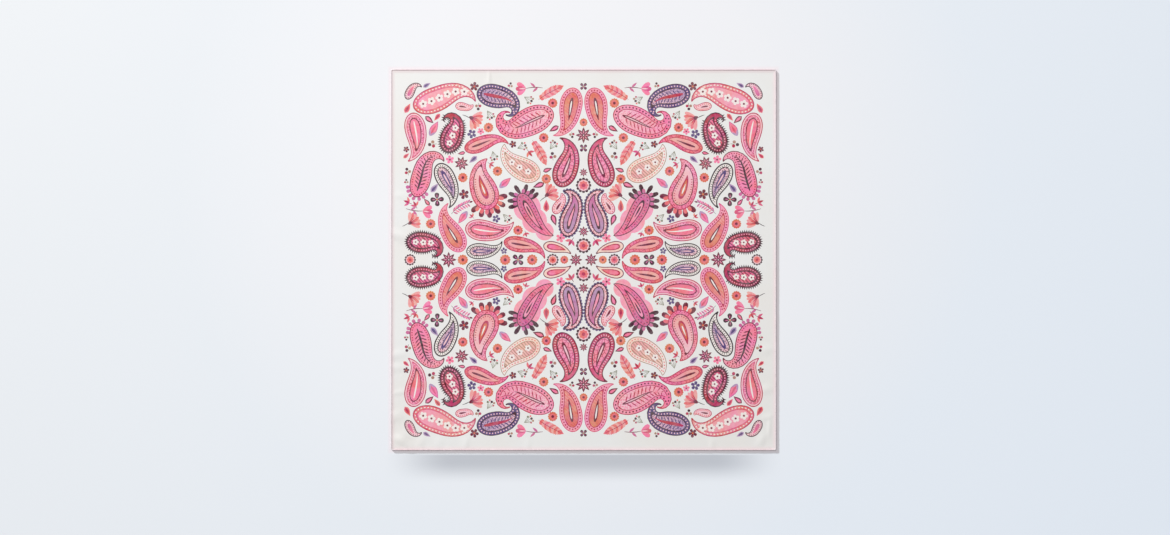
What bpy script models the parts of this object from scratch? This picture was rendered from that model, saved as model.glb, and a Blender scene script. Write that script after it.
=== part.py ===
"""A square silk scarf laid out flat, as Blender objects in metres with +Z up.

One square panel of silk twill, and the four edges of it that are rolled over and sewn by
hand. Each rolled edge is a thin round hem of its own. The cloth lies on a flat surface
at z = 0, and a few soft ripples lift it near its edges and corners.

+X runs to the scarf's right and +Y to its top. The origin is at the middle of the
underside.
"""

import math
from collections import namedtuple

import bmesh
import bpy

# Driving dimensions, in metres
WIDTH = 0.900  # along X, over the hems
LENGTH = 0.890  # along Y, over the hems
CLOTH_WALL = 0.001
HEM_ROLL = 0.0028  # the rolled hem's thickness, from flat to flat
HEM_TURN = 0.003  # bend radius of the hem's centreline at the corners
SEAM_GAP = 0.0003  # left between pieces that are sewn to each other

# How finely the pieces are divided
PANEL_CELLS = 16  # along each side, before the edges are divided further
EDGE_BAND = 0.090  # this deep along the edges, the cells are halved
RIPPLE_BAND = 0.050  # and this deep they are halved again
CORNER_REACH = 0.060  # and so they are this near to a corner
HEM_STEP = 0.010  # between two points of a straight hem
TURN_STEPS = 4  # segments in a hem's quarter turn
HEM_SIDES = 8  # sides of a hem's cross-section, with a flat one underneath

HALF_WIDTH = (WIDTH - HEM_ROLL) / 2  # to the hems' centrelines
HALF_LENGTH = (LENGTH - HEM_ROLL) / 2
HEM_TO_PANEL = HEM_ROLL / 2 + SEAM_GAP  # from a hem's centreline to the panel's edge

# A ripple is a soft ridge. Its middle is at x, y, its crest runs at `angle` degrees from
# +X, and it fades out at half_length along the crest and at half_width across it.
Ripple = namedtuple("Ripple", "x y angle half_length half_width height")
RIPPLES = (
    # along the left edge, from the top down
    Ripple(-0.436, 0.058, -22, 0.050, 0.017, 0.0018),
    Ripple(-0.440, -0.222, 6, 0.046, 0.016, 0.0011),
    Ripple(-0.441, -0.252, -4, 0.038, 0.014, 0.0009),
    Ripple(-0.442, -0.366, 12, 0.034, 0.019, 0.0013),
    # across the lower left corner
    Ripple(-0.427, -0.423, -34, 0.040, 0.015, 0.0016),
    # along the bottom edge, from the left
    Ripple(-0.380, -0.426, 82, 0.022, 0.015, 0.0009),
    Ripple(-0.338, -0.428, 96, 0.020, 0.017, 0.0007),
    # along the right edge, from the top down
    Ripple(0.428, -0.210, -5, 0.024, 0.016, 0.0011),
    Ripple(0.427, -0.303, 8, 0.025, 0.016, 0.0012),
    # across the lower right corner
    Ripple(0.416, -0.420, 63, 0.030, 0.015, 0.0012),
)

# Name, base colour and roughness
Finish = namedtuple("Finish", "name colour roughness")
PRINTED_SILK = Finish("printed_silk", (0.80, 0.74, 0.71, 1.0), 0.50)
HEM_SILK = Finish("hem_silk", (0.76, 0.42, 0.47, 1.0), 0.45)


def clear_scene():
    for thing in list(bpy.data.objects):
        bpy.data.objects.remove(thing, do_unlink=True)


def new_collection(name):
    collection = bpy.data.collections.new(name)
    bpy.context.scene.collection.children.link(collection)
    return collection


def new_material(finish):
    material = bpy.data.materials.new(finish.name)
    material.use_nodes = True
    shader = material.node_tree.nodes["Principled BSDF"]
    shader.inputs["Base Color"].default_value = finish.colour
    shader.inputs["Roughness"].default_value = finish.roughness
    shader.inputs["Metallic"].default_value = 0.0
    return material


def fade(distance, reach):
    """1 on the crest and 0 at its reach, with a level start and end."""
    if abs(distance) >= reach:
        return 0.0
    return (1 + math.cos(math.pi * distance / reach)) / 2


def lift(x, y):
    """How far the ripples raise the cloth's underside off the surface at x, y."""
    height = 0.0
    for ripple in RIPPLES:
        cosine = math.cos(math.radians(ripple.angle))
        sine = math.sin(math.radians(ripple.angle))
        along = (x - ripple.x) * cosine + (y - ripple.y) * sine
        across = (y - ripple.y) * cosine - (x - ripple.x) * sine
        height += ripple.height * fade(along, ripple.half_length) * fade(across, ripple.half_width)
    return height


def halve_edges(mesh, wanted):
    """Divides the edges whose middle, given as distances in from the sides, is wanted."""
    edges = []
    for edge in mesh.edges:
        middle = (edge.verts[0].co + edge.verts[1].co) / 2
        from_side = HALF_WIDTH - abs(middle.x)
        from_end = HALF_LENGTH - abs(middle.y)
        if wanted(from_side, from_end):
            edges.append(edge)
    bmesh.ops.subdivide_edges(mesh, edges=edges, cuts=1, use_grid_fill=True)


def round_corners(mesh):
    """Draws the panel's corner points in, so that they keep clear of the turning hem."""
    radius = HEM_TURN - HEM_TO_PANEL - SEAM_GAP
    drawn_in = radius * math.sqrt(0.5)
    for point in mesh.verts:
        at_side = abs(point.co.x) > HALF_WIDTH - HEM_TURN
        at_end = abs(point.co.y) > HALF_LENGTH - HEM_TURN
        if at_side and at_end:
            point.co.x = math.copysign(HALF_WIDTH - HEM_TURN + drawn_in, point.co.x)
            point.co.y = math.copysign(HALF_LENGTH - HEM_TURN + drawn_in, point.co.y)


def make_panel(collection, material):
    """The panel: its underside as one sheet, thickened upwards by the cloth's wall."""
    mesh = bmesh.new()
    bmesh.ops.create_grid(mesh, x_segments=PANEL_CELLS, y_segments=PANEL_CELLS, size=0.5)
    panel_width = 2 * (HALF_WIDTH - HEM_TO_PANEL)
    panel_length = 2 * (HALF_LENGTH - HEM_TO_PANEL)
    bmesh.ops.scale(mesh, vec=(panel_width, panel_length, 1), verts=mesh.verts)
    halve_edges(mesh, lambda side, end: min(side, end) < EDGE_BAND)
    halve_edges(mesh, lambda side, end: min(side, end) < RIPPLE_BAND)
    halve_edges(mesh, lambda side, end: max(side, end) < CORNER_REACH)
    round_corners(mesh)
    for point in mesh.verts:
        point.co.z = lift(point.co.x, point.co.y)
    bmesh.ops.triangulate(mesh, faces=mesh.faces)
    sheet = bpy.data.meshes.new("scarf_panel")
    mesh.to_mesh(sheet)
    mesh.free()
    sheet.materials.append(material)
    sheet.shade_smooth()
    panel = bpy.data.objects.new("scarf_panel", sheet)
    collection.objects.link(panel)
    wall = panel.modifiers.new("cloth_wall", "SOLIDIFY")
    wall.thickness = CLOTH_WALL
    wall.offset = 1.0
    wall.use_even_offset = True
    return panel


def straight_run(start, end):
    """Points from start to end, both included, about HEM_STEP apart."""
    length = math.dist(start, end)
    steps = max(1, round(length / HEM_STEP))
    points = []
    for step in range(steps + 1):
        share = step / steps
        x = start[0] + (end[0] - start[0]) * share
        y = start[1] + (end[1] - start[1]) * share
        points.append((x, y))
    return points


def quarter_turn(centre, start_angle):
    """Points of a turn to the right about centre, without its first and last point."""
    points = []
    for step in range(1, TURN_STEPS):
        angle = math.radians(start_angle - 90 * step / TURN_STEPS)
        x = centre[0] + HEM_TURN * math.cos(angle)
        y = centre[1] + HEM_TURN * math.sin(angle)
        points.append((x, y))
    return points


def end_hem_route():
    """The top hem's centreline: round the left corner, along the edge, round the right."""
    x = HALF_WIDTH - HEM_TURN
    y = HALF_LENGTH - HEM_TURN
    route = [(-HALF_WIDTH, y)]
    route += quarter_turn((-x, y), 180)
    route += straight_run((-x, HALF_LENGTH), (x, HALF_LENGTH))
    route += quarter_turn((x, y), 90)
    route += [(HALF_WIDTH, y)]
    return route


def side_hem_route():
    """The right hem's centreline, straight down between the top and bottom hems."""
    y = HALF_LENGTH - HEM_TURN - SEAM_GAP
    return straight_run((HALF_WIDTH, y), (HALF_WIDTH, -y))


def make_hem(name, route, collection, material):
    """A round roll along the route, resting on one of its flat sides."""
    curve = bpy.data.curves.new(name, "CURVE")
    curve.dimensions = "3D"
    curve.twist_mode = "Z_UP"
    curve.bevel_depth = HEM_ROLL / 2 / math.cos(math.pi / HEM_SIDES)
    curve.bevel_resolution = HEM_SIDES // 2 - 2
    curve.use_fill_caps = True
    spline = curve.splines.new("POLY")
    spline.points.add(len(route) - 1)
    for point, (x, y) in zip(spline.points, route):
        point.co = (x, y, HEM_ROLL / 2 + lift(x, y), 1)
        point.tilt = math.pi / HEM_SIDES
    spline.use_smooth = True
    curve.materials.append(material)
    hem = bpy.data.objects.new(name, curve)
    collection.objects.link(hem)
    return hem


def turned_round(route):
    """The same route on the opposite side of the scarf."""
    return [(-x, -y) for x, y in route]


def build_scarf():
    clear_scene()
    collection = new_collection("silk_scarf")
    printed_silk = new_material(PRINTED_SILK)
    hem_silk = new_material(HEM_SILK)
    make_panel(collection, printed_silk)
    hems = (
        ("hem_top", end_hem_route()),
        ("hem_right", side_hem_route()),
        ("hem_bottom", turned_round(end_hem_route())),
        ("hem_left", turned_round(side_hem_route())),
    )
    for name, route in hems:
        make_hem(name, route, collection, hem_silk)


build_scarf()
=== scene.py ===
"""A square silk scarf laid out flat: printed silk twill with thin hand-rolled hems.

The scarf's solids are loaded as a fixed frame in metres, with +X to the scarf's right, +Y to
its top and +Z up. The cloth here is one thin shell on the panel's form, with the print drawn
into its mesh and coloured by its attributes. The hems are rolls, pinched at every stitch.
"""

import math
from collections import namedtuple
from functools import lru_cache

import bmesh
import bpy
import numpy as np
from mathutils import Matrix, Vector, noise
from mathutils.geometry import delaunay_2d_cdt


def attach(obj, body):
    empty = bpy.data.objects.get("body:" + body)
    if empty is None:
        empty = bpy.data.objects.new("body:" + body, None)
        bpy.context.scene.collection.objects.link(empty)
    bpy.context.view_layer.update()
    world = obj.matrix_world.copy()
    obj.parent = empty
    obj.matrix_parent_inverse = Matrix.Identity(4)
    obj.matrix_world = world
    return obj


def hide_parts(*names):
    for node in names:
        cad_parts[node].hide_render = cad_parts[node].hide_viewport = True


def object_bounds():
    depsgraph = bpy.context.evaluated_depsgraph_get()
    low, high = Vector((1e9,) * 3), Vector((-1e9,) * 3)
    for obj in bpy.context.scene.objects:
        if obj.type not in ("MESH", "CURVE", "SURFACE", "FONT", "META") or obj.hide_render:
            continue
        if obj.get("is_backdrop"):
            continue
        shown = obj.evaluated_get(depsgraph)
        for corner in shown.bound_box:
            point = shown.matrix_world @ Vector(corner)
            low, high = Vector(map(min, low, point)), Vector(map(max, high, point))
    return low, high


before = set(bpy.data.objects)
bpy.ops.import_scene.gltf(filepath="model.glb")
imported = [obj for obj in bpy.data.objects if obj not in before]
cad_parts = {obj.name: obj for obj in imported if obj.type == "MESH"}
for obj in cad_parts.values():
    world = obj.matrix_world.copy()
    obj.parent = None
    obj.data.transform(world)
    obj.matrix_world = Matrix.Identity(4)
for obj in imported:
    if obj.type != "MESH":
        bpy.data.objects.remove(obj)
cad_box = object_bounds()

MM = 0.001

# The scarf, in metres
HEM_ROLL = 0.0028  # the rolled hem's thickness
HEM_TURN = 0.003  # bend radius of the hems' centreline at the corners
HALF_WIDTH = (cad_box[1].x - cad_box[0].x - HEM_ROLL) / 2  # to the hems' centrelines
HALF_LENGTH = (cad_box[1].y - cad_box[0].y - HEM_ROLL) / 2
CLOTH_THICKNESS = 0.0005
TUCK = 0.0006  # how far the cloth runs on under the roll
EDGE_INSET = HEM_ROLL / 2 - TUCK  # from a hem's centreline to the cloth's edge
EDGE_X = HALF_WIDTH - EDGE_INSET
EDGE_Y = HALF_LENGTH - EDGE_INSET


def direction(angle):
    """The unit vector at this many degrees from +X."""
    return np.array((math.cos(math.radians(angle)), math.sin(math.radians(angle))))


def linear(colour):
    """A colour on screen as linear light."""
    colour = np.array(colour)
    return np.where(colour < 0.04045, colour / 12.92, ((colour + 0.055) / 1.055) ** 2.4)


# --- The print: shapes in millimetres, each drawn by rule. Later ones lie on earlier ones. ---

INKS = {  # as red, green and blue on screen
    "cream": (0.985, 0.945, 0.925),
    "blush": (1.000, 0.800, 0.835),
    "soft_pink": (1.000, 0.640, 0.740),
    "pink": (1.000, 0.505, 0.665),
    "rose": (0.890, 0.345, 0.520),
    "coral": (0.950, 0.440, 0.465),
    "salmon": (0.975, 0.660, 0.655),
    "crimson": (0.760, 0.140, 0.340),
    "wine": (0.470, 0.050, 0.220),
    "plum": (0.285, 0.040, 0.165),
    "orchid": (0.840, 0.420, 0.630),
    "lavender": (0.740, 0.610, 0.760),
    "periwinkle": (0.370, 0.270, 0.500),
    "peach": (1.000, 0.855, 0.800),
    "tan": (0.720, 0.530, 0.450),
    "orange": (0.890, 0.440, 0.300),
    "ink": (0.155, 0.030, 0.100),
    "sage": (0.540, 0.530, 0.430),
}

PATTERNS = {"dots": 0.25, "net": 0.5, "lines": 0.75}  # the number that stands for each

# inks holds two names, which differ where the ink runs from one colour to another along axis.
# fill is None, or a pattern that the material draws over the inks and the name of its ink.
Shape = namedtuple("Shape", "points inks axis fill")
# A drop is a paisley's body: spine length, greatest width, lean and curl in degrees, and how
# soon it narrows to its tail.
Drop = namedtuple("Drop", "length width lean curl taper")
# inset is measured in from the drop's edge, step along it, and first and last are shares of
# the way round the edge, or along the spine for what lies on it.
Layer = namedtuple(
    "Layer", "draw ink inset step size first last fill", defaults=(0, 0, 0, 0.0, 1.0, None)
)
Place = namedtuple("Place", "name x y turn size flip", defaults=(1.0, False))

BELLY = 0.30  # share of the spine at which a drop is widest
HOOK = 0.42  # share at which its tail begins to curl
HOOK_BEND = 1.8  # how much of the curl is near the tip
TAIL_HALF_WIDTH = 1.4
LEAST_HALF_WIDTH = 0.35  # where an outline inside the drop ends
DROP_STEPS = 24
CORE_STEPS = 9
MARK_SHARE = 0.36  # a thorn's or dash's half-length, as a share of its step
CENTRE = np.zeros(2)


def left_of(run):
    return np.array((-run[1], run[0])) / max(math.hypot(*run), 1e-9)


def shape(points, ink, axis=((0, 0), (0, 1)), fill=None):
    inks = ink if isinstance(ink, tuple) else (ink, ink)
    return Shape(np.array(points, float), inks, np.array(axis, float), fill)


def around(foot, stops, tip):
    """From foot along one side of the stops to tip and back. A stop is a point, the direction
    across there and the half-width."""
    out = [middle + across * half for middle, across, half in stops]
    back = [middle - across * half for middle, across, half in reversed(stops)]
    return [*foot, *out, *tip, *back]


def eased(step, steps):
    """The share that a point has gone after this many steps, closer together at both ends."""
    return (1 - math.cos(math.pi * step / steps)) / 2


def disc(centre, radius, sides=8):
    return [centre + radius * direction(360 * side / sides) for side in range(sides)]


def leaf(base, tip, width, belly=0.45, steps=4):
    """A leaf, pointed at both ends and widest at `belly` of its length."""
    base = np.array(base, float)
    along = np.array(tip, float) - base
    bend = math.log(0.5) / math.log(belly)
    stops = []
    for step in range(1, steps + 1):
        half = width / 2 * math.sin(math.pi * (step / (steps + 1)) ** bend)
        stops.append((base + along * step / (steps + 1), left_of(along), half))
    return around([base], stops, [base + along])


def petal(base, tip, width, steps=5):
    """A petal with a narrow foot and a round end."""
    base = np.array(base, float)
    along = np.array(tip, float) - base
    stops = []
    for step in range(1, steps):
        share = eased(step, steps)
        half = width / 2 * math.sin(math.pi * step / steps) * (0.55 + 0.65 * share)
        stops.append((base + along * share, left_of(along), half))
    return around([base], stops, [base + along])


def stroke(points, width, ends=0.3):
    """A brush line, full in its middle and thin at its ends."""
    last = len(points) - 1
    stops = []
    for i, point in enumerate(points):
        across = left_of(points[min(i + 1, last)] - points[max(i - 1, 0)])
        half = width / 2 * max(ends, math.sin(math.pi * (0.1 + 0.8 * i / last)))
        stops.append((point, across, half))
    return around([], stops, [])


def arc(start, heading, length, bend, steps=6):
    """Points along a line that starts on the heading and turns by bend in all."""
    points = [np.array(start, float)]
    for step in range(steps):
        angle = heading + bend * (step + 0.5) / steps
        points.append(points[-1] + direction(angle) * length / steps)
    return points


class Paisley:
    """A drop with a round head at its foot and a bent tail, from its spine and half-widths."""

    def __init__(self, drop):
        self.drop = drop
        self.shares = [eased(i, DROP_STEPS) for i in range(DROP_STEPS + 1)]
        spine = [CENTRE]
        for before, share in zip(self.shares, self.shares[1:]):
            step = drop.length * (share - before)
            spine.append(spine[-1] + direction(self.heading((share + before) / 2)) * step)
        self.spine = np.array(spine)
        self.spine -= (self.spine.min(axis=0) + self.spine.max(axis=0)) / 2

    def heading(self, share):
        hooked = max(0.0, (share - HOOK) / (1 - HOOK)) ** HOOK_BEND
        return 90 + self.drop.lean * (share - 0.5) + self.drop.curl * hooked

    def half_width(self, share, inset=0.0):
        half = self.drop.width / 2
        if share >= BELLY:
            narrowing = math.cos(math.pi / 2 * (share - BELLY) / (1 - BELLY)) ** self.drop.taper
            return (half - TAIL_HALF_WIDTH) * narrowing + TAIL_HALF_WIDTH - inset
        start = inset / self.drop.length
        if share <= start:
            return 0.0
        reach = (BELLY - share) / (BELLY - start)
        return (half - inset) * math.sqrt(1 - reach * reach)

    def middle(self, share):
        """The spine's point at this share of it, and the direction to its right."""
        x = np.interp(share, self.shares, self.spine[:, 0])
        y = np.interp(share, self.shares, self.spine[:, 1])
        return np.array((x, y)), direction(self.heading(share) - 90)

    def outline(self, inset=0.0):
        """The drop's edge, or a line this far inside it, from the head round the tail."""
        first = inset / self.drop.length
        stops = []
        for share in self.shares:
            half = self.half_width(share, inset)
            if share > first and half > LEAST_HALF_WIDTH:
                stops.append((*self.middle(share), half))
        right, left = around([], stops[-1:], [])
        tip = (left + right) / 2 + left_of(right - left)
        return around([self.middle(first)[0]], stops, [tip])

    def room(self):
        """Discs that fill the drop, as x, y and radius."""
        for point, share in zip(self.spine, self.shares):
            half = self.half_width(share)
            if half <= share * self.drop.length:
                yield (*point, half)


def edge_stops(paisley, layer):
    """Evenly spaced points of the layer's line, each with the direction out of it there."""
    ring = np.array(paisley.outline(layer.inset))
    runs = np.roll(ring, -1, axis=0) - ring
    lengths = np.hypot(runs[:, 0], runs[:, 1])
    marks = np.concatenate(([0.0], np.cumsum(lengths)))
    span = layer.last - layer.first
    count = max(1, round(span * marks[-1] / layer.step))
    stops = []
    for i in range(count):
        mark = (layer.first + span * (i + 0.5) / count) % 1.0 * marks[-1]
        k = min(int(np.searchsorted(marks, mark, side="right")) - 1, len(ring) - 1)
        run = runs[k] / max(lengths[k], 1e-9)
        stops.append((ring[k] + run * (mark - marks[k]), -left_of(run)))
    return stops


def spine_stops(paisley, layer):
    """Evenly spaced shares of the spine between the layer's first and last."""
    span = layer.last - layer.first
    count = max(1, round(paisley.drop.length * span / layer.step))
    return [layer.first + span * (i + 0.5) / count for i in range(count)]


def bead(point, out, layer):
    """A round dot, with fewer sides where it is small."""
    sides = 5 if layer.size < 2.6 else 6 if layer.size < 5 else 9
    return disc(point, layer.size / 2, sides)


def spike(point, out, layer):
    """A thorn that stands out of the edge."""
    side = left_of(out) * layer.step * MARK_SHARE
    return [point - side, point + out * layer.size, point + side]


def frond(point, out, layer):
    """A petal that stands out of the edge."""
    return petal(point - out * layer.size * 0.2, point + out * layer.size, layer.step)


def dash(point, out, layer):
    """A short stroke along the line."""
    side = left_of(out) * layer.step * MARK_SHARE
    return leaf(point - side, point + side, layer.size, 0.5, 1)


def tick(point, out, layer):
    """A short stroke across the line."""
    reach = out * layer.size / 2
    return leaf(point - reach, point + reach, layer.step * 0.42, 0.5, 1)


def band(paisley, layer):
    """The whole drop, drawn in by the inset."""
    axis = (paisley.middle(0.05)[0], paisley.middle(0.85)[0])
    yield shape(paisley.outline(layer.inset), layer.ink, axis, layer.fill)


def core(paisley, layer):
    """A slim drop on the spine."""
    stops = []
    for step in range(1, CORE_STEPS):
        reach = eased(step, CORE_STEPS)
        half = layer.size / 2 * math.sin(math.pi * reach**0.6) ** 0.7
        stops.append((*paisley.middle(layer.first + (layer.last - layer.first) * reach), half))
    ends = [paisley.middle(share)[0] for share in (layer.first, layer.last)]
    yield shape(around(ends[:1], stops, ends[1:]), layer.ink, ends)


def blossoms(paisley, layer):
    """Little flowers of five round petals along the spine."""
    for i, share in enumerate(spine_stops(paisley, layer)):
        point, _ = paisley.middle(share)
        size = min(layer.size, 1.7 * paisley.half_width(share, 3.0))
        for k in range(5):
            out = direction(72 * k + 31 * i + 18) * size * 0.32
            yield shape(disc(point + out, size * 0.22, 6), layer.ink)
        yield shape(disc(point, size * 0.15, 5), "wine")


def blot_room(paisley, layer):
    """The discs of blots along the spine, wider than the drop by the layer's size."""
    for share in spine_stops(paisley, layer):
        yield (*paisley.middle(share)[0], paisley.half_width(share) + layer.size)


def blots(paisley, layer):
    for x, y, radius in blot_room(paisley, layer):
        yield shape(disc(np.array((x, y)), radius, 22), layer.ink)


def ribs(paisley, layer):
    """Slanting veins to both sides of the spine."""
    for share in spine_stops(paisley, layer):
        point, across = paisley.middle(share)
        half = paisley.half_width(share, layer.inset)
        for side in (-1, 1):
            tip = point + (across * side + left_of(across) * 0.7) * half
            yield shape(leaf(point, tip, layer.size, 0.6, 2), layer.ink)


def rimmed(rim, depth, ink, inset, fill=None):
    """A band at the inset, with a rim of another ink that begins at the depth."""
    return Layer(band, rim, depth), Layer(band, ink, inset, fill=fill)


def cored(ink, size, first, last):
    """A slim drop from the first to the last share of the spine."""
    return Layer(core, ink, size=size, first=first, last=last)


EDGE_MARKS = (bead, spike, frond, dash, tick)

# Each paisley is its drop and its layers, from the cloth up.
PAISLEYS = {
    "scroll": (
        Drop(156, 58, 18, -250, 1.5),
        *rimmed("crimson", 0, ("soft_pink", "pink"), 1.9),
        Layer(bead, "wine", 5.4, 7.2, 3.8),
        *rimmed("crimson", 8.9, ("blush", "soft_pink"), 10.7, ("dots", "pink")),
        Layer(ribs, "crimson", 12.0, 8.4, 2.6, 0.14, 0.70),
        cored("wine", 6.6, 0.12, 0.56),
        cored("blush", 2.2, 0.16, 0.48),
    ),
    "meadow": (
        Drop(142, 52, -34, 120, 1.1),
        *rimmed("crimson", 0, ("coral", "salmon"), 2.0, ("net", "rose")),
        Layer(dash, "cream", 5.0, 7.0, 2.8),
        *rimmed("rose", 8.2, ("soft_pink", "salmon"), 9.6),
        Layer(blossoms, "cream", 0, 18, 16, 0.09, 0.84),
    ),
    "crown": (
        Drop(112, 56, 10, 75, 1.0),
        Layer(frond, "wine", 0, 12, 17, -0.14, 0.14),
        Layer(frond, "coral", 3, 8.5, 13, -0.12, 0.12),
        *rimmed("crimson", 0, ("pink", "soft_pink"), 1.9, ("dots", "crimson")),
        *rimmed("wine", 8.4, ("salmon", "blush"), 10.2),
        Layer(tick, "crimson", 12.8, 5.2, 4.2, -0.40, 0.40),
        cored("crimson", 14, 0.20, 0.66),
        cored("orange", 8.5, 0.25, 0.58),
        cored("cream", 3.2, 0.30, 0.50),
    ),
    "lash": (
        Drop(104, 46, 14, -215, 1.5),
        Layer(spike, "plum", 0, 4.6, 4.8, -0.36, 0.46),
        *rimmed("plum", 0, ("wine", "crimson"), 2.2),
        Layer(bead, "soft_pink", 5.4, 5.4, 3.0, -0.40, 0.40),
        *rimmed("plum", 8.6, ("rose", "pink"), 10.6, ("lines", "wine")),
        Layer(blossoms, "cream", 0, 17, 13, 0.12, 0.60),
    ),
    "crest": (
        Drop(112, 46, -8, 205, 1.5),
        *rimmed("plum", 0, "periwinkle", 1.4),
        Layer(bead, "blush", 4.8, 5.6, 3.0),
        *rimmed("plum", 7.6, ("lavender", "blush"), 9.6, ("dots", "periwinkle")),
        Layer(ribs, "periwinkle", 10.8, 7.0, 2.4, 0.14, 0.70),
        cored("crimson", 6.4, 0.12, 0.66),
    ),
    "garnet": (
        Drop(114, 50, 12, 95, 1.2),
        *rimmed("wine", 0, ("crimson", "rose"), 2.4),
        Layer(tick, "blush", 5.8, 5.2, 5.0, -0.42, 0.42),
        *rimmed("plum", 9.2, ("soft_pink", "pink"), 11.2, ("net", "crimson")),
        cored("wine", 9.0, 0.18, 0.66),
        cored("blush", 3.6, 0.24, 0.56),
    ),
    "night": (
        Drop(94, 38, -6, 80, 1.2),
        *rimmed("ink", 0, "cream", 2.5),
        Layer(tick, "ink", 4.9, 4.6, 3.6),
        *rimmed("ink", 6.8, ("blush", "lavender"), 8.8, ("dots", "ink")),
        cored("periwinkle", 9.0, 0.16, 0.66),
        cored("blush", 3.0, 0.24, 0.54),
    ),
    "frill": (
        Drop(106, 40, 46, -150, 1.0),
        Layer(bead, "periwinkle", 0.4, 6.2, 6.4),
        *rimmed("plum", 0, "blush", 2.3, ("dots", "crimson")),
        *rimmed("plum", 6.6, ("lavender", "orchid"), 8.6),
        cored("plum", 9.0, 0.14, 0.66),
        cored("soft_pink", 5.0, 0.20, 0.58),
    ),
    "pearl": (
        Drop(106, 48, 24, 60, 0.9),
        *rimmed("tan", 0, ("peach", "cream"), 1.5),
        Layer(dash, "coral", 5.0, 6.4, 2.8),
        *rimmed("tan", 8.4, ("salmon", "peach"), 9.6, ("lines", "tan")),
        Layer(blossoms, "cream", 0, 17, 13, 0.16, 0.70),
    ),
    "plume": (
        Drop(122, 42, -26, 170, 1.0),
        Layer(frond, "orchid", 1, 8.0, 9.0, -0.10, 0.10),
        *rimmed("wine", 0, ("pink", "soft_pink"), 1.9),
        Layer(bead, "crimson", 5.0, 5.2, 3.0),
        Layer(ribs, "wine", 8.0, 7.4, 2.8, 0.12, 0.82),
        cored("plum", 4.6, 0.10, 0.80),
    ),
    "ember": (
        Drop(112, 46, -18, 90, 1.2),
        *rimmed("rose", 0, "soft_pink", 1.8),
        Layer(bead, "crimson", 5.0, 6.0, 3.6),
        *rimmed("crimson", 8.2, ("orange", "salmon"), 10.0, ("lines", "coral")),
        cored("wine", 7.6, 0.18, 0.60),
        cored("cream", 3.2, 0.24, 0.50),
    ),
    "shell": (
        Drop(106, 44, 16, 60, 1.1),
        *rimmed("crimson", 0, "blush", 1.9),
        *rimmed("rose", 4.4, "soft_pink", 6.2, ("dots", "crimson")),
        *rimmed("wine", 10.4, ("pink", "coral"), 12.4),
        cored("cream", 3.2, 0.16, 0.70),
    ),
    "bloom": (
        Drop(118, 36, 10, 40, 0.9),
        Layer(blots, "soft_pink", 0, 34, 11, 0.16, 0.96),
        Layer(frond, "plum", 0, 10, 20, -0.13, 0.13),
        Layer(frond, "orchid", 4, 8, 13, -0.10, 0.10),
        *rimmed("plum", 0, ("orchid", "pink"), 1.7, ("lines", "rose")),
        Layer(bead, "plum", 6.4, 7.4, 2.6, -0.40, 0.40),
        cored("plum", 13, 0.14, 0.80),
        cored(("soft_pink", "pink"), 9.5, 0.19, 0.72),
        cored("plum", 3.4, 0.26, 0.50),
    ),
    "poppy": (
        Drop(94, 32, -20, 85, 1.2),
        *rimmed("crimson", 0, ("coral", "pink"), 1.8, ("net", "crimson")),
        *rimmed("crimson", 6.4, "salmon", 7.8),
        cored("wine", 4.2, 0.16, 0.60),
    ),
    "comma": (
        Drop(50, 20, 20, 110, 1.1),
        *rimmed("plum", 0, "blush", 2.0),
        Layer(bead, "plum", 3.6, 4.2, 2.2),
        cored(("orchid", "pink"), 8.0, 0.16, 0.66),
    ),
    "bean": (
        Drop(44, 20, 60, -120, 0.7),
        *rimmed("crimson", 0, "blush", 1.6),
        Layer(bead, "coral", 4.0, 4.6, 2.8),
        cored("wine", 4.0, 0.2, 0.6),
    ),
    "pod": (
        Drop(56, 22, 6, 30, 1.1),
        *rimmed("wine", 0, "peach", 1.7),
        cored("crimson", 12, 0.12, 0.80),
        cored(("pink", "coral"), 8, 0.18, 0.72),
    ),
}


def paisley_motif(name):
    """A paisley's shapes, and the discs that stand for the room it takes."""
    drop, *layers = PAISLEYS[name]
    paisley = Paisley(drop)
    shapes = []
    room = list(paisley.room())
    for layer in layers:
        if layer.draw not in EDGE_MARKS:
            shapes += layer.draw(paisley, layer)
            room += blot_room(paisley, layer) if layer.draw is blots else []
            continue
        for point, out in edge_stops(paisley, layer):
            shapes.append(shape(layer.draw(point, out, layer), layer.ink))
            if layer.draw in (frond, spike):
                room.append((*(point + out * layer.size / 2), layer.size / 2))
    return shapes, room


def whorl(count, foot, tip, width, ink, outline=petal, start=90):
    """Petals or leaves round the middle, from foot to tip away from it."""
    outs = [direction(start + 360 * k / count) for k in range(count)]
    return [shape(outline(out * foot, out * tip, width), ink) for out in outs]


def sprout(foot, angle, length, width, ink, outline=leaf, *form):
    """A leaf or petal that grows from its foot at this angle."""
    return shape(outline(foot, foot + direction(angle) * length, width, *form), ink)


def stem(points, width, ink, ends=0.5):
    return [shape(stroke(points, width, ends), ink)]


def eye(radius, ink, sides=8):
    return [shape(disc(CENTRE, radius, sides), ink)]


def star():
    shapes = whorl(8, 0.8, 17, 6.6, "wine", leaf)
    return shapes + whorl(8, 3.0, 11, 2.0, "soft_pink", leaf), [(0, 0, 16)]


def quatrefoil():
    shapes = whorl(4, 1.6, 16, 12.0, "plum", start=45)
    shapes += whorl(4, 4.0, 12, 2.6, "orchid", leaf, 45)
    return shapes + eye(2.2, "orange"), [(0, 0, 15)]


def rosette():
    shapes = whorl(12, 8, 16.5, 7.2, "plum") + eye(11.8, "blush", 16)
    shapes += whorl(8, 0.5, 10, 6.4, "coral") + eye(4.0, "crimson")
    return shapes, [(0, 0, 16)]


def marigold():
    shapes = whorl(12, 5, 11.5, 5.4, "orange")
    return shapes + eye(7.2, "coral", 12) + eye(3.4, "wine"), [(0, 0, 11.5)]


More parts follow.
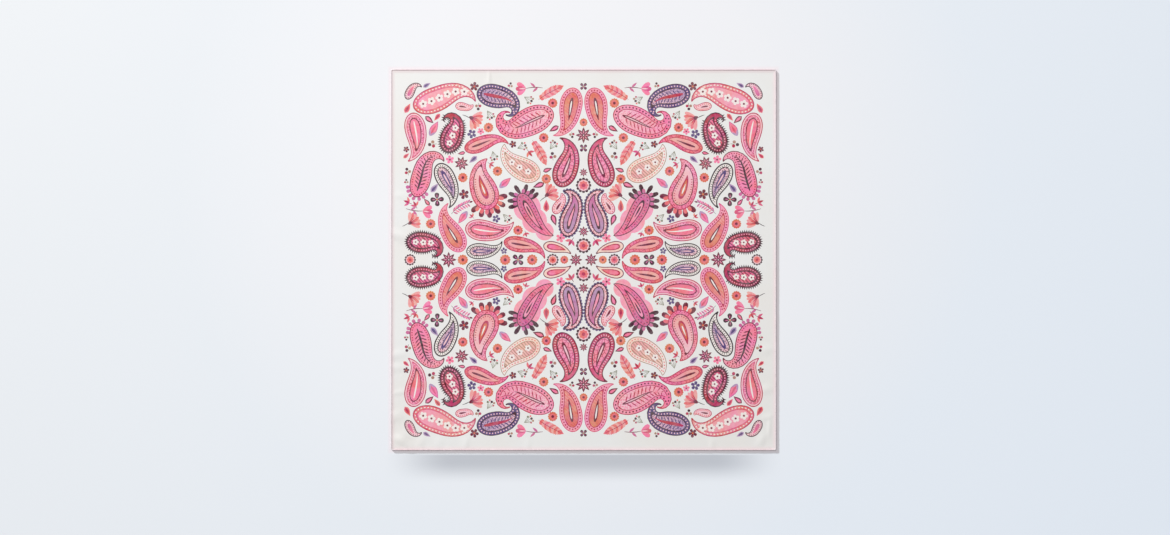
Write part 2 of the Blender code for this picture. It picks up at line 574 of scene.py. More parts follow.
def feather():
    """A leaf of slanting lobes along a rib."""
    rib = arc((0, -29), 84, 58, 14, 10)
    shapes = []
    room = []
    for i, point in enumerate(rib[1:-1]):
        reach = 14 * math.sin(math.pi * (0.20 + 0.66 * i / 8))
        for side in (-1, 1):
            tip = point + direction(90 - side * 46) * reach
            ink = "salmon" if i % 2 else "coral"
            shapes.append(shape(leaf(point - (0, 2), tip, 7.0, 0.55, 3), ink))
        room.append((*point, 10))
    shapes.append(shape(leaf(rib[-3], rib[-1] + (0, 4), 8.0), "coral"))
    return shapes + stem(rib, 1.7, "crimson", 0.3), room


def tulip():
    """A side-on flower on a bent stem with two leaves."""
    line = arc((4, -29), 100, 36, -24, 7)
    top = line[-1]
    shapes = stem(line, 1.8, "wine")
    for side, at in ((1, 2), (-1, 3)):
        shapes.append(sprout(line[at], 90 - 42 * side, 15, 5.0, "orchid"))
    for lean, ink in ((34, "pink"), (-34, "pink"), (0, "rose")):
        shapes.append(sprout(top, 88 + lean, 22, 11.5, ink, petal))
    shapes.append(sprout(top, 88, 15, 3.0, "blush"))
    return shapes, [*((*point, 4) for point in line), (top[0], top[1] + 11, 13)]


def fan():
    """A carnation: a fan of petals over its cup."""
    cup = np.array((0.0, -9.0))
    shapes = stem(arc((-4, -27), 74, 19, 22, 4), 1.6, "ink")
    for k in range(7):
        shapes.append(sprout(cup, 36 + 18 * k, 27, 9.0, "coral" if k % 2 else "salmon", petal))
    for k in range(5):
        shapes.append(sprout(cup, 54 + 18 * k, 18, 2.2, "crimson", leaf, 0.45, 2))
    shapes.append(shape(petal(cup - (0, 4), cup + (0, 6), 9.0), "wine"))
    return shapes, [(0, 2, 18), (0, -18, 5)]


def sprig():
    """A bent stem with pairs of slim leaves."""
    line = arc((0, -23), 70, 46, 34, 8)
    shapes = stem(line, 1.4, "plum")
    for i in range(1, 8):
        ink = "orchid" if i % 2 else "pink"
        for side in (-1, 1):
            angle = 92 + 4 * i - 46 * side
            shapes.append(sprout(line[i], angle, 11.5, 3.8, ink, leaf, 0.55, 2))
    shapes.append(sprout(line[-1], 104, 8, 4.0, "wine"))
    return shapes, [(*point, 8) for point in line[1:]]


def berries():
    """Berries on forked stalks."""
    root = np.array((0.0, -11.0))
    shapes = []
    for k, ink in enumerate(("crimson", "tan", "plum", "coral", "sage")):
        end = direction(90 + 34 * (k - 2)) * (11 if k % 2 else 8.5)
        shapes += stem([root, (root + end) / 2, end], 1.0, "sage", 0.6)
        shapes.append(shape(disc(end, 2.3 + 0.4 * (k % 3), 7), ink))
    return shapes, [(0, 0, 12.5)]


def bud():
    """A closed bud in two colours with sepals at its foot."""
    shapes = [
        shape(leaf((0, -18), (0, 18), 16, 0.42, 6), "orchid"),
        shape(leaf((0, -16), (0, 15), 12.5, 0.42, 5), "pink"),
        shape(leaf((0, -13), (0, 9), 4.5, 0.42, 3), "rose"),
    ]
    for side in (-1, 1):
        shapes.append(sprout((0, -18), 90 - 28 * side, 15, 4.5, "lavender"))
    return shapes, [(0, y, 8) for y in (-10, 0, 9)]


def drop_leaf(outer, inner):
    """A small leaf with a second one in it."""
    shapes = [shape(leaf((0, -11.5), (0, 11.5), 11, 0.36, 4), outer)]
    shapes.append(shape(leaf((0, -9), (0, 7), 5.4, 0.36, 3), inner))
    return shapes, [(0, y, 5) for y in (-5, 3)]


def trefoil():
    """Three berries on a short stalk."""
    shapes = stem(arc((1, -9), 100, 9, -20, 3), 1.2, "sage", 0.6)
    for k, ink in enumerate(("plum", "tan", "crimson")):
        shapes.append(shape(disc(direction(90 + 120 * k) * 4.4, 3.3, 7), ink))
    return shapes, [(0, 0, 8)]


def floret(ink, middle):
    """A little flower of five petals."""
    return whorl(5, 1.0, 9.5, 7.0, ink) + eye(2.2, middle, 6), [(0, 0, 8.5)]


def twig():
    """Two leaves and a bud on one stalk."""
    shapes = stem(arc((1, -10), 96, 14, -12, 3), 1.3, "wine", 0.6)
    for angle, ink in ((38, "rose"), (142, "coral"), (90, "crimson")):
        shapes.append(sprout((0, -4), angle, 13, 5.0, ink))
    return shapes, [(0, 1, 9)]


DRAWN = (
    star, quatrefoil, rosette, marigold, feather, tulip, fan, sprig, berries, bud, trefoil, twig,
)  # fmt: skip
FLOWERS = {draw.__name__: (draw, ()) for draw in DRAWN}
FLOWERS.update(
    garnet_leaf=(drop_leaf, ("wine", "pink")),
    coral_leaf=(drop_leaf, ("coral", "crimson")),
    violet_leaf=(drop_leaf, ("lavender", "periwinkle")),
    wine_floret=(floret, ("wine", "orange")),
    pink_floret=(floret, ("pink", "wine")),
    blue_floret=(floret, ("periwinkle", "cream")),
)
SPRINKLES = (  # the smallest motifs, which take turns too
    "garnet_leaf", "twig", "trefoil", "coral_leaf", "wine_floret", "garnet_leaf", "trefoil",
    "violet_leaf", "pink_floret", "twig", "blue_floret",
)  # fmt: skip
SPRINKLE_RADIUS = 8.5
MIRRORED_FLOWERS = ("rosette", "star", "quatrefoil", "marigold")  # their own mirror images


@lru_cache(maxsize=None)
def motif(name):
    if name in PAISLEYS:
        return paisley_motif(name)
    draw, inks = FLOWERS[name]
    return draw(*inks)


def changed(part, change):
    """The shape with all its points put through a function."""
    return part._replace(points=change(part.points), axis=change(part.axis))


def placed(name, x, y, turn, size=1.0, flip=False):
    """A motif's shapes and room, mirrored if flip says so, scaled, turned and moved."""
    shapes, room = motif(name)
    across = direction(turn) * size
    matrix = np.column_stack((-across if flip else across, left_of(across) * size))
    shift = np.array((x, y))
    moved = [changed(part, lambda points: points @ matrix.T + shift) for part in shapes]
    return moved, [(*(matrix @ (cx, cy) + shift), radius * size) for cx, cy, radius in room]


# --- The print's layout: one quarter, mirrored left to right and top to bottom ---

FIELD = (419.0, 414.0)  # half the printed field, in millimetres
WHITE = 2.8  # bare silk left between motifs

# The larger motifs of the upper right quarter, from the top edge inwards
LARGE = (
    Place("ember", 42, 342, 186, 1.06),
    Place("scroll", 152, 322, -118, 1.04, True),
    Place("crest", 238, 352, 100, 1.1),
    Place("meadow", 330, 362, 62, 1.04),
    Place("feather", 96, 385, 60),
    Place("tulip", 165, 390, -90),
    Place("comma", 400, 398, 30),
    Place("shell", 392, 285, 172, 1.04),
    Place("bud", 350, 305, 30),
    Place("lash", 305, 268, 24, 1.04),
    Place("poppy", 236, 262, 66, 1.06),
    Place("fan", 268, 318, 120),
    Place("garnet", 56, 225, 20, 1.04, True),
    Place("pearl", 160, 236, -60, 1.04),
    Place("feather", 110, 268, 150),
    Place("plume", 388, 175, 10, 1.04),
    Place("night", 325, 175, 150, 1.1),
    Place("crown", 236, 172, -20, 1.04),
    Place("fan", 180, 170, 60),
    Place("bean", 110, 160, 40, 1.1),
    Place("frill", 60, 118, 24, 1.06),
    Place("bloom", 160, 112, 150, 1.0, True),
    Place("shell", 245, 78, 96, 1.04, True),
    Place("sprig", 290, 122, 60),
    Place("ember", 322, 84, -34, 1.02),
    Place("lash", 392, 58, 90, 0.98, True),
    Place("tulip", 388, 108, 100),
    Place("pod", 66, 30, 100, 1.1),
    Place("poppy", 146, 44, 96, 1.06),
    Place("night", 240, 30, 90, 0.9, True),
)

# Small motifs, in the order in which they take turns to fill the gaps
SMALL = (
    "star", "tulip", "berries", "comma", "feather", "quatrefoil", "bud", "fan", "berries",
    "rosette", "sprig", "bean", "marigold", "pod", "berries", "feather", "comma", "bud",
)  # fmt: skip
LEAST_ROOM = 5.0  # radius of the smallest gap that is filled
AXIS_ROOM = 9.0  # the same on the axes, where the motif is mirrored on itself
GRID = 3.0  # spacing of the spots that are tried
SETTLE_STEPS = 200
SETTLE_SHARE = 0.6  # of each push that is followed
SETTLED = 0.3  # the largest push that is left alone
GROWTH = 1.10  # of the larger motifs, beyond their sizes above
CROWDED = 0.75  # share of the bare silk that a small motif keeps clear
MOST_SMALL = 150
SPRINKLE_SPILL = 1.5  # how far a sprinkle may reach into the bare silk round its spot
TAKEN = 0.6  # share of a gap's radius that its motif takes at least
FAR = 1e3


def settle(rooms, spots):
    """Moves the large motifs apart until each is clear of its neighbours and of the edges."""
    reach = [(np.hypot(room[:, 0], room[:, 1]) + room[:, 2]).max() for room in rooms]
    for _ in range(SETTLE_STEPS):
        push = np.zeros_like(spots)
        for i, room in enumerate(rooms):
            centres = room[:, :2] + spots[i]
            radii = room[:, 2:]
            push[i] += np.maximum(0, WHITE / 2 - (centres - radii).min(axis=0))
            push[i] -= np.maximum(0, (centres + radii).max(axis=0) - FIELD)
            for j in range(i):
                if math.dist(spots[i], spots[j]) > reach[i] + reach[j] + WHITE:
                    continue
                apart = centres[:, None] - (rooms[j][:, :2] + spots[j])[None]
                far = np.hypot(apart[..., 0], apart[..., 1])
                short = radii + rooms[j][:, 2] + WHITE - far
                worst = np.unravel_index(np.argmax(short), short.shape)
                if short[worst] > 0:
                    move = apart[worst] / far[worst] * short[worst] / 2
                    push[i] += move
                    push[j] -= move
        spots += SETTLE_SHARE * push
        if np.abs(push).max() < SETTLED:
            break
    spots[:] = spots.round(1)


def grown(place, x, y):
    return placed(place.name, x, y, place.turn, place.size * GROWTH, place.flip)


def large_motifs():
    rooms = [np.array(grown(place, 0, 0)[1]) for place in LARGE]
    spots = np.array([(place.x, place.y) for place in LARGE], float)
    settle(rooms, spots)
    shapes = []
    room = []
    for place, (x, y) in zip(LARGE, spots):
        moved, discs = grown(place, x, y)
        shapes += moved
        room += discs
    return shapes, room


class Gaps:
    """How far each spot of the quarter is from the nearest motif."""

    def __init__(self, room):
        across = np.arange(0, FIELD[0], GRID)
        up = np.arange(0, FIELD[1], GRID)
        self.x, self.y = np.meshgrid(across, up)
        self.on_axis = np.minimum(self.x, self.y) == 0
        self.clear = np.full(self.x.shape, FAR)
        self.take(room)

    def take(self, room):
        for x, y, radius in room:
            for side in ((x, y), (-x, y), (x, -y), (-x, -y)):
                far = np.hypot(self.x - side[0], self.y - side[1]) - radius
                np.minimum(self.clear, far, out=self.clear)

    def roomiest(self):
        """The spot with most room, off the axes by that much or right on one."""
        wall = np.minimum(FIELD[0] - self.x, FIELD[1] - self.y)
        from_axes = [np.where(place == 0, FAR, place - WHITE / 2) for place in (self.x, self.y)]
        free = np.minimum(self.clear - WHITE, wall)
        free = np.minimum(free, np.minimum(*from_axes))
        free[self.on_axis & (free < AXIS_ROOM)] = 0
        spot = np.unravel_index(np.argmax(free.round(2)), free.shape)
        return self.x[spot], self.y[spot], free[spot]

    def fits(self, room):
        """Whether the discs are clear of the motifs, the edges and the axes."""
        for x, y, radius in room:
            if min(x, y) - radius < WHITE / 2 or x + radius >= FIELD[0] or y + radius >= FIELD[1]:
                return False
            column = round(x / GRID)
            row = round(y / GRID)
            if column >= self.x.shape[1] or row >= self.x.shape[0]:
                return False
            if self.clear[row, column] - radius < WHITE * CROWDED:
                return False
        return True


def fitting(gaps, x, y, count, first):
    """The first small motif from `first` on that fits at x, y, and how many were tried."""
    for tried in range(1, len(SMALL) + 1):
        name = SMALL[(first + tried - 1) % len(SMALL)]
        for angle in range(0, 360, 30):
            option = placed(name, x, y, angle + 7 * count, 1.0, count % 2 == 0)
            if gaps.fits(option[1]):
                return option, tried
    return None, 0


def fill_gaps(gaps):
    """Small motifs in the roomiest spots: a mirrored one on an axis, or else one that fits, or
    else a sprinkle of the spot's size."""
    shapes = []
    first = 0
    sprinkled = 0
    for count in range(MOST_SMALL):
        x, y, free = gaps.roomiest()
        if free < LEAST_ROOM:
            break
        if min(x, y) == 0:
            name = MIRRORED_FLOWERS[count % len(MIRRORED_FLOWERS)]
            chosen = placed(name, x, y, 0, min(1.1, free / motif(name)[1][0][2]))
        else:
            chosen, tried = fitting(gaps, x, y, count, first)
            first += tried
        if not chosen:
            name = SPRINKLES[sprinkled % len(SPRINKLES)]
            size = min(1.25, (free + SPRINKLE_SPILL) / SPRINKLE_RADIUS)
            chosen = placed(name, x, y, 50 * count, size)
            sprinkled += 1
        shapes += chosen[0]
        gaps.take(chosen[1])
        gaps.take([(x, y, free * TAKEN)])
    return shapes


def whole_print():
    """The shapes of the upper right quarter and their mirror images in the other three."""
    shapes, room = large_motifs()
    shapes += fill_gaps(Gaps(room))
    quarters = np.array(((1, 1), (1, -1), (-1, 1), (-1, -1)))
    return [changed(part, lambda points: points * sides) for sides in quarters for part in shapes]


# --- The cloth's relief, in metres ---

# A ripple is a soft ridge. Its middle is at x, y, its crest runs at `angle` degrees from
# +X, and it fades out at half_length along the crest and at half_width across it.
Ripple = namedtuple("Ripple", "x y angle half_length half_width height")
RIPPLES = (  # the solids' own, which lift the hems too
    Ripple(-0.436, 0.058, -22, 0.050, 0.017, 0.0018),
    Ripple(-0.440, -0.222, 6, 0.046, 0.016, 0.0011),
    Ripple(-0.441, -0.252, -4, 0.038, 0.014, 0.0009),
    Ripple(-0.442, -0.366, 12, 0.034, 0.019, 0.0013),
    Ripple(-0.427, -0.423, -34, 0.040, 0.015, 0.0016),
    Ripple(-0.380, -0.426, 82, 0.022, 0.015, 0.0009),
    Ripple(-0.338, -0.428, 96, 0.020, 0.017, 0.0007),
    Ripple(0.428, -0.210, -5, 0.024, 0.016, 0.0011),
    Ripple(0.427, -0.303, 8, 0.025, 0.016, 0.0012),
    Ripple(0.416, -0.420, 63, 0.030, 0.015, 0.0012),
)
CREASES = (  # finer ones, in the cloth alone
    Ripple(-0.425, -0.416, 38, 0.034, 0.020, 0.0010),
    Ripple(-0.432, -0.310, 4, 0.026, 0.010, 0.0008),
    Ripple(-0.428, 0.150, -8, 0.022, 0.012, 0.0006),
    Ripple(-0.2206, 0.425, 90, 0.030, 0.006, 0.0009),
    Ripple(0.434, -0.392, 88, 0.040, 0.008, 0.0010),
    Ripple(0.428, -0.368, 14, 0.020, 0.010, 0.0008),
    Ripple(-0.275, -0.430, 84, 0.024, 0.012, 0.0009),
    Ripple(-0.130, -0.432, 98, 0.020, 0.012, 0.0007),
    Ripple(0.300, -0.432, 92, 0.022, 0.011, 0.0008),
)
SWELL = 0.00022  # height of the slow unevenness all over the cloth
SWELL_WIDTH = 0.085
PUCKER = 0.0004  # height of the puckers beside the hem's stitches
PUCKER_REACH = 0.010
PUCKER_WIDTH = 0.0062
SLOPE_STEP = 0.0004  # to each side of a point, between the heights that give its slope


def fade(distance, reach):
    """1 on the crest and 0 at its reach, with a level start and end."""
    return (1 + np.cos(math.pi * np.minimum(np.abs(distance) / reach, 1))) / 2


def raised(ripples, x, y):
    height = np.zeros_like(x)
    for ripple in ripples:
        cosine, sine = direction(ripple.angle)
        along = (x - ripple.x) * cosine + (y - ripple.y) * sine
        across = (y - ripple.y) * cosine - (x - ripple.x) * sine
        crest = fade(along, ripple.half_length) * fade(across, ripple.half_width)
        height = height + ripple.height * crest
    return height


def uneven(x, y, width):
    """Smooth noise, mostly from 0.2 to 0.8, with lumps about as wide as width."""
    values = [noise.noise((px / width, py / width, 0.5)) for px, py in zip(x, y)]
    return 0.5 + 0.5 * np.array(values)


def puckers(x, y):
    """Short folds that run in from the hems, at uneven distances along them."""
    height = np.zeros_like(x)
    for from_edge, along in ((HALF_WIDTH - np.abs(x), y), (HALF_LENGTH - np.abs(y), x)):
        near = np.flatnonzero(from_edge < PUCKER_REACH)
        folds = uneven(along[near], np.zeros(len(near)), PUCKER_WIDTH)
        height[near] += fade(from_edge[near], PUCKER_REACH) * folds
    return PUCKER * height


def relief(x, y):
    """How far the cloth's underside is off the floor."""
    height = raised(RIPPLES, x, y) + raised(CREASES, x, y) + puckers(x, y)
    return height + SWELL * uneven(x, y, SWELL_WIDTH)


def relief_normals(x, y):
    """The relief's upward unit normals."""
    step = SLOPE_STEP
    slope_x = (relief(x + step, y) - relief(x - step, y)) / (2 * step)
    slope_y = (relief(x, y + step) - relief(x, y - step)) / (2 * step)
    normals = np.column_stack((-slope_x, -slope_y, np.ones_like(x)))
    return normals / np.linalg.norm(normals, axis=1)[:, None]


# --- Routes round the square ---


def straight(start, end, step):
    """Evenly spaced points from start to end, without the last."""
    start = np.array(start)
    steps = max(1, round(math.dist(start, end) / step))
    return [start + (end - start) * k / steps for k in range(steps)]


def quarter_turn(centre, radius, start, step):
    """Points of a quarter turn anticlockwise about centre, without the last."""
    bends = max(3, round(radius * math.pi / 2 / step))
    return [centre + radius * direction(start + 90 * k / bends) for k in range(bends)]


def sides_of_square(half_width, half_length, radius, step):
    """Four lists of points, anticlockwise round a square with round corners: the left side,
    the bottom with its two turns, the right side and the top with its two turns."""
    x = half_width - radius
    y = half_length - radius
    left = straight((-half_width, y), (-half_width, -y), step)
    bottom = quarter_turn((-x, -y), radius, 180, step)
    bottom += straight((-x, -half_length), (x, -half_length), step)
    bottom += quarter_turn((x, -y), radius, 270, step)
    sides = [np.array(left), np.array(bottom)]
    return sides + [-side for side in sides]


# --- The cloth's mesh: the print's outlines and the relief's points, joined by triangles ---

EDGE_STEP = 0.003
ROWS = ((0.0020, 0.0035), (0.0050, 0.0050), (0.0100, 0.0080), (0.0200, 0.0120))  # inset, step
RIPPLE_STEP = 0.0045
COARSE_STEP = 0.022
LEAST_RIPPLE = 0.00004  # relief that calls for points of its own
CLEAR_OF_EDGE = 0.0015
MERGE = 1e-6  # points closer than this become one
LEAST_BACK_SHAPE = 45.0  # square millimetres, of the shapes that show on the underside
MANY_POINTS = 16  # more than this in an outline are halved on the underside
FACE_SPOT = (0.79, 0.005)  # share of the bake map's side for the printed face, and its corner
BACK_SPOT = (0.19, 0.805)


def grid(step):
    """Points all over the cloth, with every other row shifted by half a step."""
    x = np.arange(-EDGE_X + step / 2, EDGE_X, step)
    y = np.arange(-EDGE_Y + step / 2, EDGE_Y, step)
    x, y = np.meshgrid(x, y)
    x = x + step / 2 * (np.arange(len(y)) % 2)[:, None]
    return np.column_stack((x.ravel(), y.ravel()))


def relief_points():
    """Points that carry the relief, closer together where there is more of it."""
    fine = grid(RIPPLE_STEP)
    lifted = raised(RIPPLES + CREASES, *fine.T)
    points = [fine[lifted > LEAST_RIPPLE], grid(COARSE_STEP)]
    for inset, step in ROWS:
        points += sides_of_square(EDGE_X - inset, EDGE_Y - inset, HEM_TURN - inset / 5, step)
    points = np.concatenate(points)
    within = np.abs(points) < np.array((EDGE_X, EDGE_Y)) - CLEAR_OF_EDGE
    return points[within.all(axis=1)]


def triangulated(outline, points, shapes):
    """The cloth in the plane: its places in metres, its triangles, which keep to the shapes'
    edges, and which places are the outline's."""
    places = [tuple(place) for place in np.concatenate((outline, points))]
    count = len(outline)
    edges = [(i, (i + 1) % count) for i in range(count)]
    for part in shapes:
        first = len(places)
        count = len(part.points)
        places += [tuple(point) for point in part.points * MM]
        edges += [(first + i, first + (i + 1) % count) for i in range(count)]
    made = delaunay_2d_cdt([Vector(place) for place in places], edges, [], 0, MERGE, True)
    became = {source: place for place, sources in enumerate(made[3]) for source in sources}
    rim = [became[i] for i in range(len(outline))]
    return np.array([tuple(point) for point in made[0]]), np.array(made[2]), rim


def covered(outline, points):
    """Which points lie inside the outline."""
    inside = np.zeros(len(points), bool)
    for (x0, y0), (x1, y1) in zip(outline, np.roll(outline, -1, axis=0)):
        if y0 != y1:
            crosses = (y0 > points[:, 1]) != (y1 > points[:, 1])
            inside ^= crosses & (points[:, 0] < x0 + (x1 - x0) * (points[:, 1] - y0) / (y1 - y0))
    return inside


def top_shapes(places, triangles, shapes):
    """For each triangle, the number of the last shape over its middle, or -1."""
    middles = places[triangles].mean(axis=1) / MM
    order = np.argsort(middles[:, 0])
    ranked = middles[order, 0]
    top = np.full(len(triangles), -1)
    for number, part in enumerate(shapes):
        low = part.points.min(axis=0)
        high = part.points.max(axis=0)
        near = order[np.searchsorted(ranked, low[0]) : np.searchsorted(ranked, high[0])]
        near = near[(middles[near, 1] > low[1]) & (middles[near, 1] < high[1])]
        top[near[covered(part.points, middles[near])]] = number
    return top


def corner_layers(places, triangles, shapes):
    """Each corner's ink in linear light, with alpha 0 on bare silk, and the ink of the pattern
    over it, with the pattern's number as alpha."""
    top = top_shapes(places, triangles, shapes)
    colours = np.zeros((len(triangles), 3, 4))
    fills = np.zeros((len(triangles), 3, 4))
    corners = places[triangles] / MM
    order = np.argsort(top, kind="stable")
    numbers, starts = np.unique(top[order], return_index=True)
    for number, some in zip(numbers, np.split(order, starts[1:])):
        if number >= 0:
            part = shapes[number]
            first, last = (linear(INKS[name]) for name in part.inks)
            start, end = part.axis
            run = (end - start) / np.dot(end - start, end - start)
            share = np.clip((corners[some] - start) @ run, 0, 1)[..., None]
            colours[some, :, :3] = first + (last - first) * share
            colours[some, :, 3] = 1
            if part.fill:
                pattern, ink = part.fill
                fills[some] = (*linear(INKS[ink]), PATTERNS[pattern])
    return colours, fills


def area(points):
    x, y = points.T
    return abs(np.dot(x, np.roll(y, -1)) - np.dot(y, np.roll(x, -1))) / 2


def seen_through(shapes):
    """The larger shapes, with half the points of the finer ones."""
    found = []
    for part in shapes:
        if area(part.points) > LEAST_BACK_SHAPE:
            points = part.points[::2] if len(part.points) > MANY_POINTS else part.points
            found.append(part._replace(points=points))
    return found


def colour_cloth(mesh, face_layers, back_layers):
    """Gives the corners of the cloth's triangles their colours. The wall's stay 0."""
    for name, on_face, on_back in zip(("ink", "fill"), face_layers, back_layers):
        of_triangles = np.concatenate((on_face, on_back[:, ::-1])).reshape(-1, 4)
        values = np.zeros((len(mesh.loops), 4))
        values[: len(of_triangles)] = of_triangles
        layer = mesh.color_attributes.new(name, "FLOAT_COLOR", "CORNER")
        layer.data.foreach_set("color", values.ravel())


def smooth_cloth(mesh, normals, wall_loops):
    """Gives the corners the relief's normals, but for the wall, which keeps its own."""
    loop_normals = normals[loop_vertices(mesh)]
    loop_normals[-wall_loops:] = 0
    mesh.shade_smooth()
    mesh.normals_split_custom_set(loop_normals.tolist())


def loop_vertices(mesh):
    vertices = np.empty(len(mesh.loops), int)
    mesh.loops.foreach_get("vertex_index", vertices)
    return vertices


def add_bake_map(mesh, places, face_loops):
    """Lays the face in a large square of the map, and the underside and wall in a small one."""
    spots = places[loop_vertices(mesh)] / (2 * max(EDGE_X, EDGE_Y)) + 0.5
    halves = ((slice(0, face_loops), FACE_SPOT), (slice(face_loops, None), BACK_SPOT))
    for some, (share, corner) in halves:
        spots[some] = corner + share * spots[some]
    uv = mesh.uv_layers.new(name="OFBake")
    uv.uv.foreach_set("vector", spots.ravel())


def make_cloth():
    """The cloth: its printed face, its underside, and the narrow wall between their rims."""
    shapes = whole_print()
    back_shapes = seen_through(shapes)
    sides = sides_of_square(EDGE_X, EDGE_Y, HEM_TURN - EDGE_INSET, EDGE_STEP)
    outline = np.concatenate(sides)
    points = relief_points()
    face, face_triangles, rim = triangulated(outline, points, shapes)
    back, back_triangles, back_rim = triangulated(outline, points[::2], back_shapes)
    face_layers = corner_layers(face, face_triangles, shapes)
    back_layers = corner_layers(back, back_triangles, back_shapes)

    places = np.concatenate((face, back))
    heights = relief(*places.T)
    heights[: len(face)] += CLOTH_THICKNESS
    triangles = np.concatenate((face_triangles, back_triangles[:, ::-1] + len(face)))
    low = [len(face) + place for place in back_rim]
    wall = [(rim[i - 1], low[i - 1], low[i], rim[i]) for i in range(len(outline))]
    mesh = bpy.data.meshes.new("silk_panel")
    mesh.from_pydata(np.column_stack((places, heights)), [], triangles.tolist() + wall)

    colour_cloth(mesh, face_layers, back_layers)
    normals = relief_normals(*places.T)
    normals[len(face) :] *= -1
    smooth_cloth(mesh, normals, 4 * len(wall))
    add_bake_map(mesh, places, 3 * len(face_triangles))
    return new_piece(mesh.name, mesh)


# --- The hems: a roll along each side, and the stitches that hold it down ---

RING_STEP = 0.0013
RING_SIDES = 14
ROLL_RADIUS = HEM_ROLL / 2
LUMPS = 0.08  # share by which the roll swells and narrows
LUMP_LENGTH = 0.007
WRINKLE = 0.035  # the same for the fine slanting wrinkles
WRINKLE_LENGTH = 0.0016
PINCH = 0.16  # share by which a stitch draws the roll in
PINCH_REACH = 0.0016
STITCH_STEP = 0.0055
STITCH_SLANT = 0.0010  # along the hem, from a stitch's foot to its head
STITCHED = 150  # degrees round the roll, where the stitches draw it in
WRINKLE_SLANT = 0.0012
THREAD_RADIUS = 0.00013
THREAD_SIDES = 5
HEM_SIDES = ("left", "bottom", "right", "top")


def hem_routes():
    """For each hem, its centreline with the next one's first point, and the way out of it."""
    sides = sides_of_square(HALF_WIDTH, HALF_LENGTH, HEM_TURN, RING_STEP)
    loop = np.concatenate(sides)
    ahead = np.roll(loop, -1, axis=0) - np.roll(loop, 1, axis=0)
    ahead /= np.linalg.norm(ahead, axis=1)[:, None]
    outward = np.column_stack((ahead[:, 1], -ahead[:, 0]))
    steps = np.linalg.norm(np.roll(loop, -1, axis=0) - loop, axis=1)
    marks = np.concatenate(([0.0], np.cumsum(steps)))
    routes = []
    first = 0
    for side in sides:
        some = np.arange(first, first + len(side) + 1)
        wrapped = some % len(loop)
        routes.append((loop[wrapped], outward[wrapped], marks[some]))
        first += len(side)
    return routes


def stitch_offsets(marks):
    """How far each mark along the hems is from the nearest stitch."""
    return np.abs((marks + STITCH_STEP / 2) % STITCH_STEP - STITCH_STEP / 2)


def roll_radius(places, marks, angle):
    """The roll's radius at places along its centreline, at this angle round it."""
    lumps = uneven(*places.T, LUMP_LENGTH) - 0.5
    slanted = places + WRINKLE_SLANT * direction(angle)
    wrinkles = uneven(*slanted.T, WRINKLE_LENGTH) - 0.5
    inner = max(0.0, math.cos(math.radians(angle - STITCHED))) ** 2
    pinch = PINCH * inner * fade(stitch_offsets(marks), PINCH_REACH)
    return ROLL_RADIUS * (1 + 2 * LUMPS * lumps + 2 * WRINKLE * wrinkles - pinch)


def roll_points(route, angle):
    """Points along the roll's surface at this angle, 0 at its outer side and 90 on top."""
    places, outward, marks = route
    radius = roll_radius(places, marks, angle)
    out, up = direction(angle)
    flat = places + outward * (radius * out)[:, None]
    floor = raised(RIPPLES, *places.T)
    heights = np.maximum(ROLL_RADIUS + radius * up, 0) + floor
    return np.column_stack((flat, heights))


def tube_faces(rings, sides, first=0):
    """Faces of a closed tube whose points go round ring by ring, with a cap at each end."""
    last = first + (rings - 1) * sides
    faces = []
    for low in range(first, last, sides):
        high = low + sides
        for side in range(sides):
            following = (side + 1) % sides
            faces.append((low + side, low + following, high + following, high + side))
    faces.append(tuple(reversed(range(first, first + sides))))
    faces.append(tuple(range(last, last + sides)))
    return faces


def make_hem(side, route):
    """One hem's roll, smooth all round, with closed ends."""
    angles = [360 * k / RING_SIDES for k in range(RING_SIDES)]
    lines = np.array([roll_points(route, angle) for angle in angles])
    points = lines.transpose(1, 0, 2).reshape(-1, 3)
    mesh = bpy.data.meshes.new("rolled_hem_" + side)
    mesh.from_pydata(points, [], tube_faces(len(route[0]), RING_SIDES))
    mesh.shade_smooth()
    mesh.set_sharp_from_angle(angle=math.radians(70))
    return new_piece(mesh.name, mesh)


# A stitch's path: share of its slant, degrees round the roll from its outer side and share of
# the roll's radius. It starts in the cloth and ends in the roll.
STITCH_PATH = (
    (-0.20, 196, 1.62),
    (0.00, 188, 1.50),
    (0.45, 166, 1.12),
    (0.80, 142, 1.00),
    (1.00, 120, 0.98),
    (1.15, 108, 0.72),
)


def stitch_points(place, outward):
    """The points of a stitch that holds the roll at place."""
    ahead = np.array((-outward[1], outward[0]))
    centre = raised(RIPPLES, *place[:, None])[0] + ROLL_RADIUS
    points = []
    for slant, angle, reach in STITCH_PATH:
        out, up = direction(angle) * reach * ROLL_RADIUS
        flat = place + outward * out + ahead * slant * STITCH_SLANT
        points.append(Vector((*flat, centre + up)))
    return points


def thread_ring(points, k):
    """A ring of points round the thread at its point k."""
    ahead = (points[min(k + 1, len(points) - 1)] - points[max(k - 1, 0)]).normalized()
    across = ahead.cross(Vector((0, 0, 1))).normalized()
    up = across.cross(ahead)
    ring = []
    for side in range(THREAD_SIDES):
        out, rise = direction(360 * side / THREAD_SIDES) * THREAD_RADIUS
        ring.append(points[k] + across * out + up * rise)
    return ring


def make_stitches(side, route):
    """The stitches along one hem, as one mesh."""
    places, outward, marks = route
    points = []
    faces = []
    first_stitch = math.ceil(marks[0] / STITCH_STEP)
    for number in range(first_stitch, math.ceil(marks[-1] / STITCH_STEP)):
        at = int(np.searchsorted(marks, number * STITCH_STEP))
        path = stitch_points(places[at], outward[at])
        faces += tube_faces(len(path), THREAD_SIDES, len(points))
        for k in range(len(path)):
            points += thread_ring(path, k)
    mesh = bpy.data.meshes.new("slip_stitches_" + side)
    mesh.from_pydata(points, [], faces)
    mesh.shade_smooth()
    return new_piece(mesh.name, mesh)


